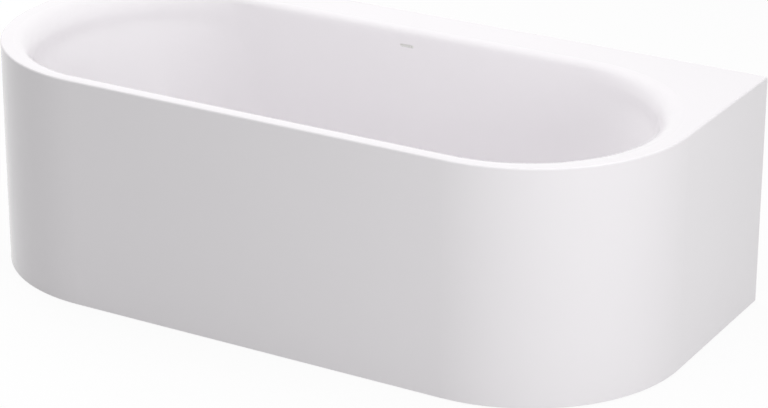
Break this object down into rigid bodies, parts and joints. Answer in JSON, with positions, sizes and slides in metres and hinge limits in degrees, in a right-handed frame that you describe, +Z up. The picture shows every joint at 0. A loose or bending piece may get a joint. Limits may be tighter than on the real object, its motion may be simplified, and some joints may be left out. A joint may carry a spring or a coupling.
{
  "type": "back-to-wall bathtub",
  "caption": "Back-to-wall bath with an oval basin in a D-shaped rim, a one-piece skirt, adjustable feet, a lifting plug, a trap and an overflow.",
  "frame": {"origin": "on the floor under the middle of the bath's plan box", "axes": "+X along the bath to the right seen from the room, +Y towards the wall, +Z up"},
  "size_m": [1.8, 0.85, 0.575],
  "materials": {
    "white_acrylic": "high gloss sanitary white",
    "bare_wood": "raw softwood batten",
    "chipboard": "raw chipboard",
    "zinc_plated_steel": "bright zinc plate",
    "plated_fasteners": "bright zinc plate",
    "chrome_trim": "polished chrome",
    "brass_fitting": "turned brass",
    "seal_rubber": "black rubber",
    "white_plumbing_plastic": "moulded white",
    "grey_plumbing_plastic": "moulded grey",
    "hose_plastic": "ribbed white hose",
    "foot_plastic": "moulded black"
  },
  "bodies": {
    "bath": {"tub_shell": "white_acrylic", "outer_skirt": "white_acrylic", "rim_batten_front": "bare_wood", "rim_batten_back": "bare_wood", "rim_batten_left": "bare_wood", "rim_batten_right": "bare_wood", "base_board": "chipboard", "leg_rail_left": "zinc_plated_steel", "leg_rail_right": "zinc_plated_steel", "rail_screws": "plated_fasteners", "rail_weld_nuts": "plated_fasteners", "foot_lock_nuts": "plated_fasteners", "wall_bracket_left": "zinc_plated_steel", "wall_bracket_right": "zinc_plated_steel", "wall_bracket_screws": "plated_fasteners", "skirt_bracket_left": "zinc_plated_steel", "skirt_bracket_right": "zinc_plated_steel", "skirt_bracket_bolts": "plated_fasteners", "skirt_bracket_nuts": "plated_fasteners", "waste_flange": "chrome_trim", "waste_upper_seal": "seal_rubber", "waste_lower_seal": "seal_rubber", "waste_body": "white_plumbing_plastic", "waste_bolt": "brass_fitting", "trap_pipe": "white_plumbing_plastic", "trap_inlet_nut": "grey_plumbing_plastic", "trap_outlet_nut": "grey_plumbing_plastic", "trap_cleaning_cap": "grey_plumbing_plastic", "outlet_elbow": "white_plumbing_plastic", "overflow_gasket": "seal_rubber", "overflow_housing": "white_plumbing_plastic", "overflow_screws": "plated_fasteners", "overflow_hose": "hose_plastic", "hose_nut_upper": "grey_plumbing_plastic", "hose_nut_lower": "grey_plumbing_plastic"},
    "plug": {"plug_cap": "chrome_trim", "plug_seal": "seal_rubber", "plug_stem": "brass_fitting"},
    "pad_front_left": {"foot_pad_front_left": "foot_plastic"},
    "stud_front_left": {"foot_stud_front_left": "plated_fasteners"},
    "pad_front_right": {"foot_pad_front_right": "foot_plastic"},
    "stud_front_right": {"foot_stud_front_right": "plated_fasteners"},
    "pad_back_left": {"foot_pad_back_left": "foot_plastic"},
    "stud_back_left": {"foot_stud_back_left": "plated_fasteners"},
    "pad_back_right": {"foot_pad_back_right": "foot_plastic"},
    "stud_back_right": {"foot_stud_back_right": "plated_fasteners"}
  },
  "joints": [
    {"name": "plug_lift", "type": "slide", "parent": "bath", "child": "plug", "axis": [0, 0, 1], "range_m": [0, 0.009]},
    {"name": "foot_raise_front_left", "type": "slide", "parent": "bath", "child": "pad_front_left", "axis": [0, 0, 1], "range_m": [-0.012, 0.012]},
    {"name": "foot_turn_front_left", "type": "hinge", "parent": "pad_front_left", "child": "stud_front_left", "pos_m": [-0.44, -0.31, 0], "axis": [0, 0, 1], "range_deg": [-2700, 2700]},
    {"name": "foot_raise_front_right", "type": "slide", "parent": "bath", "child": "pad_front_right", "axis": [0, 0, 1], "range_m": [-0.012, 0.012]},
    {"name": "foot_turn_front_right", "type": "hinge", "parent": "pad_front_right", "child": "stud_front_right", "pos_m": [0.44, -0.31, 0], "axis": [0, 0, 1], "range_deg": [-2700, 2700]},
    {"name": "foot_raise_back_left", "type": "slide", "parent": "bath", "child": "pad_back_left", "axis": [0, 0, 1], "range_m": [-0.012, 0.012]},
    {"name": "foot_turn_back_left", "type": "hinge", "parent": "pad_back_left", "child": "stud_back_left", "pos_m": [-0.44, 0.234, 0], "axis": [0, 0, 1], "range_deg": [-2700, 2700]},
    {"name": "foot_raise_back_right", "type": "slide", "parent": "bath", "child": "pad_back_right", "axis": [0, 0, 1], "range_m": [-0.012, 0.012]},
    {"name": "foot_turn_back_right", "type": "hinge", "parent": "pad_back_right", "child": "stud_back_right", "pos_m": [0.44, 0.234, 0], "axis": [0, 0, 1], "range_deg": [-2700, 2700]}
  ],
  "couplings": [
    {"joint": "foot_raise_front_left", "follows": "foot_turn_front_left", "m_per_rad": 0.00023873},
    {"joint": "foot_raise_front_right", "follows": "foot_turn_front_right", "m_per_rad": 0.00023873},
    {"joint": "foot_raise_back_left", "follows": "foot_turn_back_left", "m_per_rad": 0.00023873},
    {"joint": "foot_raise_back_right", "follows": "foot_turn_back_right", "m_per_rad": 0.00023873}
  ]
}
